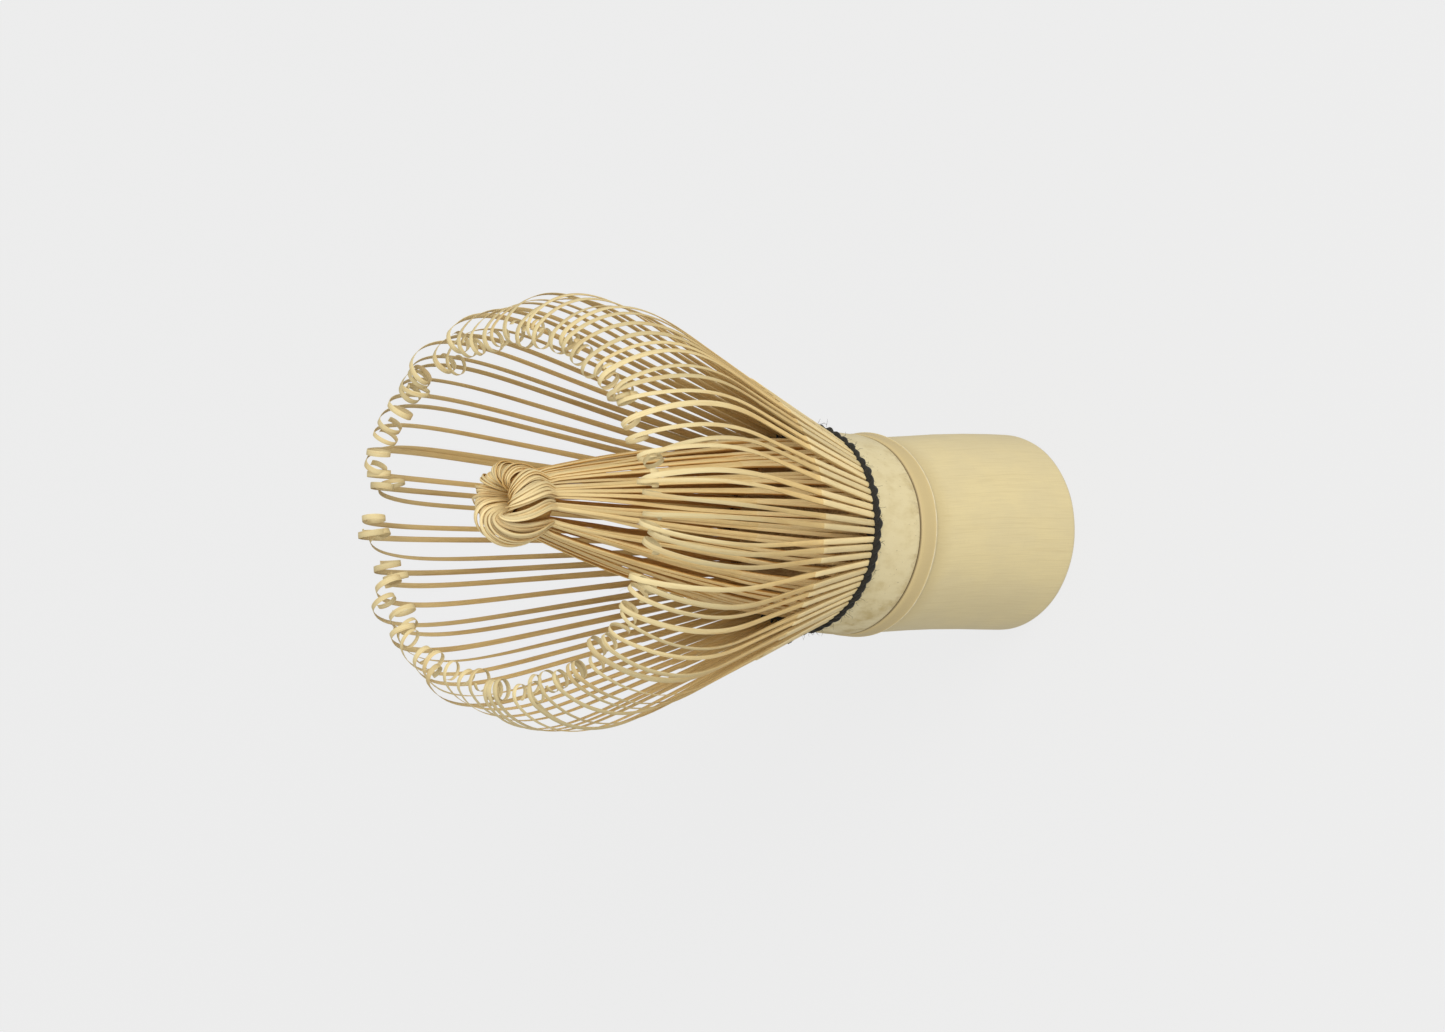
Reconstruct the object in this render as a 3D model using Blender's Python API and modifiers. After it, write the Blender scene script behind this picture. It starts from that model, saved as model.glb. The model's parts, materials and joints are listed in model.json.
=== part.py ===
"""A bamboo tea whisk: one bamboo culm, split at its upper end into two rings of fine tines and bound
with black thread.

The handle's end face lies at Z = 0 and the whisk's axis is +Z. The sixteen staves of the split culm
each carry five curled outer tines, and sixteen more blocks inside them carry the straight inner tines,
which lean together and are gathered into a knot.
"""

import math

import bmesh
import bpy
from mathutils import Matrix, Vector

MM = 0.001
GAP = 0.3 * MM  # clearance between pieces that touch on the real whisk
NAME = "tea_whisk"

# The splitting of the culm
STAVES = 16
TINES_PER_STAVE = 5
STAVE_ANGLE = 2 * math.pi / STAVES
TINE_ANGLE = STAVE_ANGLE / TINES_PER_STAVE

# The handle: a hollow culm with one node, whose diaphragm closes it
GRIP_RADIUS = 13.25 * MM
COLLAR_RADIUS = 13.85 * MM  # above the node
BORE_RADIUS = 9.6 * MM
CUP_RADIUS = 11.0 * MM  # inside, above the diaphragm
NODE_HEIGHT = 28.8 * MM
GROOVE_HEIGHT = 32.2 * MM
HANDLE_TOP = 40.2 * MM
EDGE = 0.35 * MM
HANDLE_STEPS = 40

# The line round which the tines bend
FLEX_HEIGHT = 41.0 * MM
ROOT_TOP = 42.0 * MM

# Outer tines: a flare that turns inward ever faster towards the tip, and ends in a curl
OUTER_RADIUS = 14.0 * MM  # outer face at the root
OUTER_ROOT_THICKNESS = 0.85 * MM
OUTER_ROOT_WIDTH = 0.8 * MM
OUTER_TIP_THICKNESS = 0.25 * MM
OUTER_TIP_WIDTH = 0.5 * MM
FLARE = math.radians(21.1)
BEND_START = 15.5 * MM  # along the tine
BEND_TURN = math.radians(72)
BEND_POWER = 4  # how sharply the bend gathers towards the tip
OUTER_STATIONS = (26, 37, 44.5, 50.5, 55.5, 59.7, 63.4)  # along the tine, in millimetres
CURL_RADIUS = 1.7 * MM
CURL_END_RADIUS = 1.0 * MM
CURL_TURN = math.radians(320)
CURL_STEPS = 5

# Inner tines: a closing bud that ends under the knot
INNER_RADIUS = 12.15 * MM
INNER_ROOT_THICKNESS = 0.6 * MM
INNER_ROOT_WIDTH = 0.65 * MM
INNER_TIP_THICKNESS = 0.35 * MM
INNER_TIP_WIDTH = 0.2 * MM
INNER_TIP_RADIUS = 4.1 * MM
INNER_TIP_HEIGHT = 90.7 * MM
INNER_CLOSING = 1.7  # power of the height by which the bud closes
INNER_STEPS = 5
SWAY_GAP = 0.6 * MM  # under the inner blocks, which tip when the bundle sways

# The knot, which leans away from the axis
KNOT_CENTRE = Vector((1.8, 2.6, 95.8)) * MM
KNOT_RING_RADIUS = 3.0 * MM
KNOT_TUBE_RADIUS = 2.4 * MM
KNOT_HALF_HEIGHT = 4.6 * MM
KNOT_FOLDS = 8
KNOT_FOLD_DEPTH = 0.2 * MM
KNOT_SWIRL = 0.8  # how far a fold turns round the axis as it runs over the ring, in radians

# The binding thread
THREAD_RADIUS = 0.45 * MM
THREAD_HEIGHT = 41.5 * MM
INNER_THREAD_RADIUS = 0.25 * MM
INNER_THREAD_RING = 12.7 * MM
THREAD_END_ANGLE = math.radians(184)
THREAD_END_LENGTH = 3.2 * MM


def clear_scene():
    for obj in list(bpy.data.objects):
        bpy.data.objects.remove(obj, do_unlink=True)


def make_collection(name):
    made = bpy.data.collections.new(name)
    bpy.context.scene.collection.children.link(made)
    return made


def make_material(name, colour, roughness):
    made = bpy.data.materials.new(name)
    made.use_nodes = True
    shader = made.node_tree.nodes["Principled BSDF"]
    shader.inputs["Base Color"].default_value = (*colour, 1)
    shader.inputs["Roughness"].default_value = roughness
    shader.inputs["Metallic"].default_value = 0.0
    made.diffuse_color = (*colour, 1)
    return made


def add_object(name, mesh, collection, material=None):
    obj = bpy.data.objects.new(name, mesh)
    if material and not mesh.materials:
        mesh.materials.append(material)
    collection.objects.link(obj)
    return obj


def mesh_from(bm, name):
    bmesh.ops.recalc_face_normals(bm, faces=bm.faces)
    mesh = bpy.data.meshes.new(name)
    bm.to_mesh(mesh)
    bm.free()
    return mesh


def round_direction(angle):
    """The unit vectors that point outward and along the ring at this angle."""
    outward = Vector((math.cos(angle), math.sin(angle), 0))
    along = Vector((-math.sin(angle), math.cos(angle), 0))
    return outward, along


def handle_profile():
    """Radius and height, from the diaphragm's upper face round the outside to its lower face."""
    return [
        (0, NODE_HEIGHT + 2.4 * MM),
        (7.5 * MM, NODE_HEIGHT + 2.8 * MM),
        (CUP_RADIUS - 0.5 * MM, NODE_HEIGHT + 5.4 * MM),
        (CUP_RADIUS, HANDLE_TOP),
        (OUTER_RADIUS, HANDLE_TOP),
        (COLLAR_RADIUS, GROOVE_HEIGHT + 2.2 * MM),
        (COLLAR_RADIUS, GROOVE_HEIGHT + 0.5 * MM),
        (COLLAR_RADIUS - 0.4 * MM, GROOVE_HEIGHT),
        (COLLAR_RADIUS - 0.1 * MM, GROOVE_HEIGHT - 0.6 * MM),
        (COLLAR_RADIUS - 0.2 * MM, NODE_HEIGHT + 1.4 * MM),
        (COLLAR_RADIUS + 0.05 * MM, NODE_HEIGHT),
        (GRIP_RADIUS, NODE_HEIGHT - 1.0 * MM),
        (GRIP_RADIUS, EDGE),
        (GRIP_RADIUS - EDGE, 0),
        (BORE_RADIUS + EDGE, 0),
        (BORE_RADIUS, EDGE),
        (BORE_RADIUS, NODE_HEIGHT - 2.4 * MM),
        (7.0 * MM, NODE_HEIGHT - 0.4 * MM),
        (0, NODE_HEIGHT),
    ]


def add_handle(collection, material):
    bm = bmesh.new()
    points = [bm.verts.new((radius, 0, height)) for radius, height in handle_profile()]
    for start, end in zip(points, points[1:]):
        bm.edges.new((start, end))
    mesh = bpy.data.meshes.new("handle")
    bm.to_mesh(mesh)
    bm.free()
    handle = add_object("handle", mesh, collection, material)
    turn = handle.modifiers.new("turned", "SCREW")
    turn.axis = "Z"
    turn.angle = 2 * math.pi
    turn.steps = HANDLE_STEPS
    turn.render_steps = HANDLE_STEPS
    turn.use_merge_vertices = True
    turn.merge_threshold = 0.0001
    turn.use_smooth_shade = False


def root_block(bm, radius, thickness, width, bottom):
    """An arc of the culm wall under one stave's tines. Returns the faces that the tines grow from."""
    half_width = width / radius / 2
    edges = [centre + side * half_width for centre in tine_angles() for side in (-1, 1)]
    rows = []
    for angle in edges:
        outward, _ = round_direction(angle)
        up = Vector((0, 0, bottom))
        rows.append((bm.verts.new(outward * (radius - thickness) + up), bm.verts.new(outward * radius + up)))
    floor = [bm.faces.new((a[0], a[1], b[1], b[0])) for a, b in zip(rows, rows[1:])]
    raised = bmesh.ops.extrude_face_region(bm, geom=floor, use_keep_orig=True)["geom"]
    top = [item for item in raised if isinstance(item, bmesh.types.BMFace)]
    lift = Vector((0, 0, ROOT_TOP - bottom))
    bmesh.ops.translate(bm, vec=lift, verts=list({vert for face in top for vert in face.verts}))
    top.sort(key=lambda face: math.atan2(face.calc_center_median().y, face.calc_center_median().x))
    return top[::2]


def tine_angles():
    """The middle of each tine of a stave whose own middle is at angle 0."""
    first = -(TINES_PER_STAVE - 1) / 2
    return [(first + i) * TINE_ANGLE for i in range(TINES_PER_STAVE)]


def grow_tine(bm, face, angle, points, sizes):
    """Extrudes a root face along points. sizes holds the width along the ring and the thickness."""
    outward, along = round_direction(angle)
    middle = face.calc_center_median()
    signs = [
        (math.copysign(1, (vert.co - middle).dot(outward)), math.copysign(1, (vert.co - middle).dot(along)))
        for vert in face.verts
    ]
    path = [middle, *points]
    for i in range(1, len(path)):
        ahead = path[min(i + 1, len(path) - 1)]
        tangent = (ahead - path[i - 1]).normalized()
        normal = along.cross(tangent)
        width, thickness = sizes[i - 1]
        face = bmesh.ops.extrude_discrete_faces(bm, faces=[face])["faces"][0]
        for vert, (out_sign, side_sign) in zip(face.verts, signs):
            vert.co = path[i] + normal * out_sign * thickness / 2 + along * side_sign * width / 2


def outer_heading(length):
    """How far an outer tine leans outward from the axis at this length along it."""
    share = max(length - BEND_START, 0) / (OUTER_STATIONS[-1] * MM - BEND_START)
    return FLARE - BEND_TURN * share**BEND_POWER


def outer_tine_line():
    """Radius and height along an outer tine, above its root face."""
    radius, height = OUTER_RADIUS - OUTER_ROOT_THICKNESS / 2, ROOT_TOP
    points, length, step = [], 0.0, 0.1 * MM
    for station in OUTER_STATIONS:
        while length < station * MM - step / 2:
            heading = outer_heading(length + step / 2)
            radius += step * math.sin(heading)
            height += step * math.cos(heading)
            length += step
        points.append((radius, height))
    heading = outer_heading(length)
    turn = CURL_TURN / CURL_STEPS
    for i in range(CURL_STEPS):
        curl = CURL_RADIUS + (CURL_END_RADIUS - CURL_RADIUS) * i / (CURL_STEPS - 1)
        chord = 2 * curl * math.sin(turn / 2)
        heading -= turn / 2
        radius, height = points[-1]
        points.append((radius + chord * math.sin(heading), height + chord * math.cos(heading)))
        heading -= turn / 2
    return points


def taper(root, tip, count):
    """Width and thickness at each of count sections, from root to tip."""
    shares = [(i + 1) / count for i in range(count)]
    return [tuple(a + (b - a) * share for a, b in zip(root, tip)) for share in shares]


def outer_stave_mesh():
    """One outer stave at angle 0, with its origin on the line that it flexes round."""
    bm = bmesh.new()
    faces = root_block(bm, OUTER_RADIUS, OUTER_ROOT_THICKNESS, OUTER_ROOT_WIDTH, HANDLE_TOP + GAP)
    line = outer_tine_line()
    root = (OUTER_ROOT_WIDTH, OUTER_ROOT_THICKNESS * 0.6)
    sizes = taper(root, (OUTER_TIP_WIDTH, OUTER_TIP_THICKNESS), len(OUTER_STATIONS))
    sizes += [sizes[-1]] * CURL_STEPS
    for face, angle in zip(faces, tine_angles()):
        outward, _ = round_direction(angle)
        points = [outward * r + Vector((0, 0, z)) for r, z in line]
        grow_tine(bm, face, angle, points, sizes)
    mesh = mesh_from(bm, "outer_tines")
    mesh.transform(Matrix.Translation((-OUTER_RADIUS, 0, -FLEX_HEIGHT)))
    return mesh


def add_outer_tines(collection, material):
    mesh = outer_stave_mesh()
    for i in range(STAVES):
        outward, _ = round_direction(i * STAVE_ANGLE)
        stave = add_object(f"outer_tines_{i + 1:02d}", mesh, collection, material)
        stave.location = outward * OUTER_RADIUS + Vector((0, 0, FLEX_HEIGHT))
        stave.rotation_euler.z = i * STAVE_ANGLE


def inner_tine_points(angle):
    """Points above the root face of the inner tine at this angle, which follow the knot's lean."""
    outward, _ = round_direction(angle)
    root = INNER_RADIUS - INNER_ROOT_THICKNESS / 2
    points = []
    for i in range(1, INNER_STEPS + 1):
        share = i / INNER_STEPS
        radius = root + (INNER_TIP_RADIUS - root) * share**INNER_CLOSING
        height = ROOT_TOP + (INNER_TIP_HEIGHT - ROOT_TOP) * share
        lean = (height - ROOT_TOP) / (KNOT_CENTRE.z - ROOT_TOP)
        points.append(outward * radius + Vector((KNOT_CENTRE.x * lean, KNOT_CENTRE.y * lean, height)))
    return points


def add_inner_tines(collection, material, pivot):
    for i in range(STAVES):
        turn = Matrix.Rotation(i * STAVE_ANGLE, 4, "Z")
        bm = bmesh.new()
        bottom = HANDLE_TOP + SWAY_GAP
        faces = root_block(bm, INNER_RADIUS, INNER_ROOT_THICKNESS, INNER_ROOT_WIDTH, bottom)
        bmesh.ops.transform(bm, matrix=turn, verts=bm.verts)
        root = (INNER_ROOT_WIDTH, INNER_ROOT_THICKNESS)
        sizes = taper(root, (INNER_TIP_WIDTH, INNER_TIP_THICKNESS), INNER_STEPS)
        for face, own_angle in zip(faces, tine_angles()):
            angle = i * STAVE_ANGLE + own_angle
            grow_tine(bm, face, angle, inner_tine_points(angle), sizes)
        bmesh.ops.translate(bm, vec=(0, 0, -FLEX_HEIGHT), verts=bm.verts)
        name = f"inner_tines_{i + 1:02d}"
        stave = add_object(name, mesh_from(bm, name), collection, material)
        stave.parent = pivot


def add_torus(name, ring_radius, tube_radius, ring_steps, tube_steps, location):
    bpy.ops.mesh.primitive_torus_add(
        major_radius=ring_radius,
        minor_radius=tube_radius,
        major_segments=ring_steps,
        minor_segments=tube_steps,
        location=location,
    )
    torus = bpy.context.active_object
    torus.name = name
    torus.data.name = name
    return torus


def move_to(obj, collection, material=None):
    for holder in list(obj.users_collection):
        holder.objects.unlink(obj)
    collection.objects.link(obj)
    if material:
        obj.data.materials.append(material)


def add_knot(collection, material, pivot):
    """The rosette that the inner tines are rolled into: a tall ring with folds that swirl into it."""
    knot = add_torus("inner_knot", KNOT_RING_RADIUS, KNOT_TUBE_RADIUS, 24, 10, (0, 0, 0))
    for vert in knot.data.vertices:
        turn = math.atan2(vert.co.y, vert.co.x)
        distance = math.hypot(vert.co.x, vert.co.y)
        side = (distance - KNOT_RING_RADIUS) / KNOT_TUBE_RADIUS
        height = vert.co.z / KNOT_TUBE_RADIUS
        fold = KNOT_FOLD_DEPTH * math.cos(KNOT_FOLDS * (turn + KNOT_SWIRL * side)) * max(side, 0)
        stretch = (distance + fold) / distance
        vert.co = (vert.co.x * stretch, vert.co.y * stretch, height * KNOT_HALF_HEIGHT)
    move_to(knot, collection, material)
    knot.parent = pivot
    knot.location = KNOT_CENTRE - Vector((0, 0, FLEX_HEIGHT))


def thread_end_mesh():
    """The thread's cut end, which stands out from the ring, as a closed mesh."""
    outward, along = round_direction(THREAD_END_ANGLE)
    start = outward * (OUTER_RADIUS + GAP + THREAD_RADIUS) + Vector((0, 0, THREAD_HEIGHT))
    curve = bpy.data.curves.new("thread_end", "CURVE")
    curve.dimensions = "3D"
    curve.bevel_depth = 0.28 * MM
    curve.bevel_resolution = 1
    curve.use_fill_caps = True
    line = curve.splines.new("POLY")
    steps = 4
    line.points.add(steps)
    for i in range(steps + 1):
        share = i / steps
        reach = THREAD_END_LENGTH * share
        point = start + outward * 0.45 * reach - along * 0.8 * reach
        point += Vector((0, 0, -0.5 * reach * share))
        line.points[i].co = (*point, 1)
    guide = bpy.data.objects.new("thread_end_guide", curve)
    bpy.context.scene.collection.objects.link(guide)
    bpy.context.view_layer.update()
    evaluated = guide.evaluated_get(bpy.context.evaluated_depsgraph_get())
    mesh = bpy.data.meshes.new_from_object(evaluated)
    bpy.data.objects.remove(guide, do_unlink=True)
    bm = bmesh.new()
    bm.from_mesh(mesh)
    bmesh.ops.remove_doubles(bm, verts=bm.verts, dist=0.01 * MM)
    bmesh.ops.recalc_face_normals(bm, faces=bm.faces)
    bm.to_mesh(mesh)
    bm.free()
    return mesh


def add_thread(collection, cutters, material):
    """The thread's outer row, with its cut end, and the row between the outer and the inner tines."""
    ring = OUTER_RADIUS + GAP + THREAD_RADIUS
    outer = add_torus("thread_outer", ring, THREAD_RADIUS, 64, 6, (0, 0, THREAD_HEIGHT))
    move_to(outer, collection, material)
    end = add_object("thread_end", thread_end_mesh(), cutters)
    end.hide_render = True
    end.display_type = "WIRE"
    join = outer.modifiers.new("thread_end", "BOOLEAN")
    join.operation = "UNION"
    join.object = end
    inner = add_torus("thread_inner", INNER_THREAD_RING, INNER_THREAD_RADIUS, 64, 5, (0, 0, THREAD_HEIGHT))
    move_to(inner, collection, material)


def main():
    clear_scene()
    parts = make_collection(NAME)
    cutters = make_collection(NAME + "_joined_shapes")
    skin = make_material("bamboo_skin", (0.76, 0.65, 0.38), 0.42)
    outer_bamboo = make_material("bamboo_outer_tines", (0.74, 0.58, 0.30), 0.5)
    inner_bamboo = make_material("bamboo_inner_tines", (0.68, 0.50, 0.24), 0.55)
    cotton = make_material("black_cotton", (0.02, 0.021, 0.023), 0.9)
    add_handle(parts, skin)
    add_outer_tines(parts, outer_bamboo)
    pivot = add_object("inner_bundle_pivot", None, parts)
    pivot.location = (0, 0, FLEX_HEIGHT)
    add_inner_tines(parts, inner_bamboo, pivot)
    add_knot(parts, inner_bamboo, pivot)
    add_thread(parts, cutters, cotton)


main()
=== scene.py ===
"""A bamboo tea whisk, dressed around its CAD frame.

Sixteen staves of five curled outer tines stand on the handle,
and the inner tines close into a bud that is rolled into a knot and leans a little off the axis.
Lengths are in millimetres until a mesh is made, and +Z runs from the handle to the tines.
"""

import json
import math

import bmesh
import bpy
import numpy as np
from mathutils import Matrix, Vector


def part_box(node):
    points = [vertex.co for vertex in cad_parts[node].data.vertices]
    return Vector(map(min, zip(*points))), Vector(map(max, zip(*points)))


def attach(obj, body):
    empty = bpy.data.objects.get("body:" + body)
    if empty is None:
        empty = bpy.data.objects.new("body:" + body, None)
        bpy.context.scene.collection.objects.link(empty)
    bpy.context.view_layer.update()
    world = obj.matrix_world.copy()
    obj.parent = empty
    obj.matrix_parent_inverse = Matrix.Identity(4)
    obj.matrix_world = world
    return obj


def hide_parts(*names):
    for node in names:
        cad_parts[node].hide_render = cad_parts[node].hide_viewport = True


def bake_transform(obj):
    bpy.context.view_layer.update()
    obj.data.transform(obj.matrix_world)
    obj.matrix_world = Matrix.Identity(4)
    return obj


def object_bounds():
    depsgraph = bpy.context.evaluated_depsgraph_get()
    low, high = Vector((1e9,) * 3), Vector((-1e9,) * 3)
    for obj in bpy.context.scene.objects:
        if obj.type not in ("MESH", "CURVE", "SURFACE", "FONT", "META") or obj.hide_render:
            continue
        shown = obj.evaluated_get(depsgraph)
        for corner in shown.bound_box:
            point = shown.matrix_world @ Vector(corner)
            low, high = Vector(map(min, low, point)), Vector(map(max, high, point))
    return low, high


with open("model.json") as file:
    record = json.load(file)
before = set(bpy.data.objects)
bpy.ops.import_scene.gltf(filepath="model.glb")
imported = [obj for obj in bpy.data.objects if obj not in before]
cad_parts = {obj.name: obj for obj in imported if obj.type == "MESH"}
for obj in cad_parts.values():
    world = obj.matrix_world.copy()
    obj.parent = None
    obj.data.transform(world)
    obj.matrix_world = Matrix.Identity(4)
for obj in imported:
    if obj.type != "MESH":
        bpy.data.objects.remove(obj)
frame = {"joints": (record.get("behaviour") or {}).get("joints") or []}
CAD_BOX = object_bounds()

MM = 0.001
STAVES = 16
TINES_PER_STAVE = 5
STAVE_ANGLE = 2 * math.pi / STAVES
TINE_ANGLE = STAVE_ANGLE / TINES_PER_STAVE
UP = np.array([0.0, 0.0, 1.0])

# Material slots of a strip, and of the handle
SKIN, SHAVED, PITH = 0, 1, 2
CULM_SKIN, CUT_END, INSIDE = 0, 1, 2

# Places that come from the CAD
HANDLE_LOW, HANDLE_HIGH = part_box("handle")
RIM_RADIUS = HANDLE_HIGH.x / MM
HANDLE_TOP = HANDLE_HIGH.z / MM
KNOT_LOW, KNOT_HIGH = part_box("inner_knot")
KNOT_CENTRE = (KNOT_LOW + KNOT_HIGH) / 2 / MM
THREAD_LOW, THREAD_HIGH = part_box("thread_inner")
THREAD_HEIGHT = (THREAD_LOW.z + THREAD_HIGH.z) / 2 / MM
INNER_THREAD_RING = THREAD_HIGH.x / MM - 0.25
FLEX = {joint["child"]: Vector(joint["pos_m"]) for joint in frame["joints"]}


# ---------------------------------------------------------------- shapes


def unit(vectors):
    return vectors / np.linalg.norm(vectors, axis=-1, keepdims=True)


def smoothstep(low, high, value):
    share = np.clip((np.asarray(value, float) - low) / (high - low), 0, 1)
    return share * share * (3 - 2 * share)


def spline(points, count):
    """count points on a Catmull-Rom curve through the given ones."""
    points = np.asarray(points, float)
    ends = np.vstack([2 * points[0] - points[1], points, 2 * points[-1] - points[-2]])
    places = np.linspace(0, len(points) - 1, count)
    first = np.minimum(places.astype(int), len(points) - 2)
    t = (places - first)[:, None]
    a, b, c, d = (ends[first + i] for i in range(4))
    return 0.5 * (2 * b + (c - a) * t + (2 * a - 5 * b + 4 * c - d) * t**2 + (3 * b - a - 3 * c + d) * t**3)


def wrapped(angle):
    """The same angle, from minus half a turn to half a turn."""
    return (angle + math.pi) % (2 * math.pi) - math.pi


def length_along(points):
    """Length along a line of points, at each of them."""
    return np.concatenate([[0], np.cumsum(np.linalg.norm(np.diff(points, axis=0), axis=1))])


def from_table(table, length):
    """The value at each length, from a table of (length, value)."""
    return np.interp(length, *zip(*table))


def ring_vectors(angle):
    """Unit vectors outward and along the ring, for an angle or an array of angles."""
    angle = np.asarray(angle, float)
    zero = np.zeros_like(angle)
    outward = np.stack([np.cos(angle), np.sin(angle), zero], -1)
    along = np.stack([-np.sin(angle), np.cos(angle), zero], -1)
    return outward, along


CULM_BOW = 1.08  # how far off the axis the culm's centre lies where its bow is greatest
BOW_HEIGHT = 31
THREAD_LINE = 42  # above this height the centre runs straight to the crown's place
CROWN_HEIGHT = 92
RING_SLOPE = math.tan(math.radians(2.1))  # slope of the node's rings


def culm_offset(height, crown):
    """How far the grown culm's centre lies off the axis, and the slope of its rings.

    crown is how far the centre lies off the axis at the tips.
    """
    width = np.where(height < BOW_HEIGHT, 14.0, 12.0)
    bow = CULM_BOW * np.exp(-(((np.minimum(height, THREAD_LINE) - BOW_HEIGHT) / width) ** 2))
    bow = bow + (crown - bow) * np.clip((height - THREAD_LINE) / (CROWN_HEIGHT - THREAD_LINE), 0, 1)
    slope = RING_SLOPE * smoothstep(2, 26, height) * (1 - smoothstep(34, 62, height))
    return bow, slope


def settle(points, crown=0.0):
    """Moves points of a straight culm onto the slightly bowed one."""
    bow, slope = culm_offset(points[..., 2], crown)
    moved = points.copy()
    moved[..., 2] -= slope * points[..., 0]
    moved[..., 0] -= bow
    return moved


class Piece:
    """Gathers tubes, each with closed ends or closed in a loop, then makes them one mesh object."""

    def __init__(self, name):
        self.name = name
        self.points, self.fibre, self.faces, self.slots = [], [], [], []
        self.count = 0

    def add(self, rings, fibre, slots, loop=False):
        """rings is (length, round, 3) in millimetres. slots is one number, or one for each quad."""
        length, around = rings.shape[:2]
        base = self.count
        index = base + np.arange(length * around).reshape(length, around)
        start = index if loop else index[:-1]
        end = np.roll(index, -1, 0) if loop else index[1:]
        quads = np.stack([start, np.roll(start, -1, 1), np.roll(end, -1, 1), end], -1).reshape(-1, 4)
        marks = np.broadcast_to(np.asarray(slots), start.shape).ravel()
        self.faces += quads.tolist()
        self.slots += marks.tolist()
        if not loop:
            self.faces += [index[0, ::-1].tolist(), index[-1].tolist()]
            self.slots += [int(marks[-1])] * 2
        self.points.append(rings.reshape(-1, 3))
        self.fibre.append(np.broadcast_to(fibre, rings.shape).reshape(-1, 3))
        self.count += length * around

    def build(self, materials, sharp=None):
        """The mesh object. Its edges are sharp where faces meet at more than sharp, in degrees."""
        mesh = bpy.data.meshes.new(self.name)
        mesh.from_pydata((np.vstack(self.points) * MM).tolist(), [], self.faces)
        for material in materials:
            mesh.materials.append(material)
        mesh.polygons.foreach_set("material_index", self.slots)
        mesh.polygons.foreach_set("use_smooth", [True] * len(self.faces))
        layer = mesh.attributes.new("fibre", "FLOAT_VECTOR", "POINT")
        layer.data.foreach_set("vector", np.vstack(self.fibre).astype(np.float32).ravel())
        bm = bmesh.new()
        bm.from_mesh(mesh)
        bmesh.ops.recalc_face_normals(bm, faces=bm.faces)
        bm.to_mesh(mesh)
        bm.free()
        if sharp:
            mesh.set_sharp_from_angle(angle=math.radians(sharp))
        obj = bpy.data.objects.new(self.name, mesh)
        bpy.context.scene.collection.objects.link(obj)
        return obj


def strip_rings(points, normals, width, thickness, roll=0.0):
    """Nine points round a split strip: a crowned outer face, cut sides and a flat inner face.

    Also gives, for each point, a coordinate across the strip for its fibres.
    """
    tangent = unit(np.gradient(points, axis=0))
    normal = unit(normals - tangent * (normals * tangent).sum(1, keepdims=True))
    side = np.cross(tangent, normal)
    roll = np.broadcast_to(roll, len(points))[:, None]
    normal, side = normal * np.cos(roll) + side * np.sin(roll), side * np.cos(roll) - normal * np.sin(roll)
    w, t = width / 2, thickness / 2
    c = 0.36 * np.minimum(w, t)  # chamfer of the long edges
    across = np.stack([c - w, 0 * w, w - c, w, w, w - c, c - w, -w, -w], -1)
    out = np.stack([t, t + 0.03 * w, t, t - c, c - t, -t, -t, c - t, t - c], -1)
    rings = points[:, None] + side[:, None] * across[..., None] + normal[:, None] * out[..., None]
    return rings, across + 0.7 * out


STRIP_FACES = np.array([1, 1, 1, 0, 0, 0, 0, 0, 1], bool)  # which of a strip's nine faces are its outer side


def add_strip(piece, points, normals, width, thickness, tone, skin_end=None, roll=0.0, begin=0.0):
    """One strip, whose length counts from begin. Below skin_end, a length along it, its skin is left on.

    tone is a number of its own, from 0 to 1, which sets it apart in colour.
    """
    length = begin + length_along(points)
    rings, across = strip_rings(points, normals, width, thickness, roll)
    fibre = np.stack(np.broadcast_arrays(across, length[:, None], np.float64(tone)), -1)
    middle = (length[:-1] + length[1:]) / 2
    outer = np.full(len(middle), SHAVED) if skin_end is None else np.where(middle < skin_end, SKIN, SHAVED)
    slots = np.where(STRIP_FACES[None], outer[:, None], PITH)
    piece.add(rings, fibre, slots)


def shaved_thickness(base, length, skin_end, cut):
    """Thickness and the shift of the middle, where the skin was shaved off the outer side past skin_end."""
    lost = cut * smoothstep(skin_end - 0.15, skin_end + 0.15, length)
    return base - lost, -lost / 2


# ---------------------------------------------------------------- handle


RIDGE_HEIGHT, CREST_HIGHLIGHT_HEIGHT = 29.4, 29.36  # the node's ridge, and the line on its crest along which a highlight is painted
GROOVE_HEIGHT = 32.2
CUT_HEIGHT = 0.3  # below this the wall is the cut end, with its eased edges
SKIN_RADIUS = 12.7  # the wall's skin lies outside this radius


def handle_profile():
    """Radius and height round the culm's wall, from the cup over the node's diaphragm to the bore."""
    outside = [  # radius from the CAD rim's, and height
        (-0.6, 40.9), (-0.42, 40.7), (-0.38, 40.0), (-0.38, 38.0), (-0.38, 36.0), (-0.38, 34.4),
        (-0.39, 33.2), (-0.42, 32.7), (-0.46, 32.46), (-0.54, 32.33), (-0.74, 32.25), (-0.74, 32.13),
        (-0.5, 32.05), (-0.35, 31.9), (-0.27, 31.4), (-0.24, 30.9), (-0.23, 30.4), (-0.22, 30.0),
        (-0.2, 29.6), (-0.17, 29.48), (-0.1, 29.41), (-0.1, 29.34), (-0.17, 29.27), (-0.31, 29.1),
        (-0.44, 28.85), (-0.53, 28.5), (-0.62, 27.9), (-0.7, 26.7), (-0.75, 24.5), (-0.76, 20.0),
        (-0.72, 15.0), (-0.68, 9.0), (-0.66, 4.0), (-0.68, 0.9), (-0.7, 0.45), (-0.77, 0.2),
        (-0.89, 0.06), (-1.05, 0.0),
    ]
    inside = [(0.25, 31.2), (7.5, 31.7), (9.6, 32.9), (10.5, 34.6), (11.0, 37.5), (11.15, 41.0), (11.4, 41.2)]
    under = [
        (10.1, 0.0), (9.8, 0.1), (9.65, 0.4), (9.6, 3), (9.6, 24.6), (9.3, 26.2), (7.4, 28.2), (0.25, 28.8),
    ]
    wall = [(RIM_RADIUS + step, height) for step, height in outside]
    return np.array(inside + wall + under)


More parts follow.
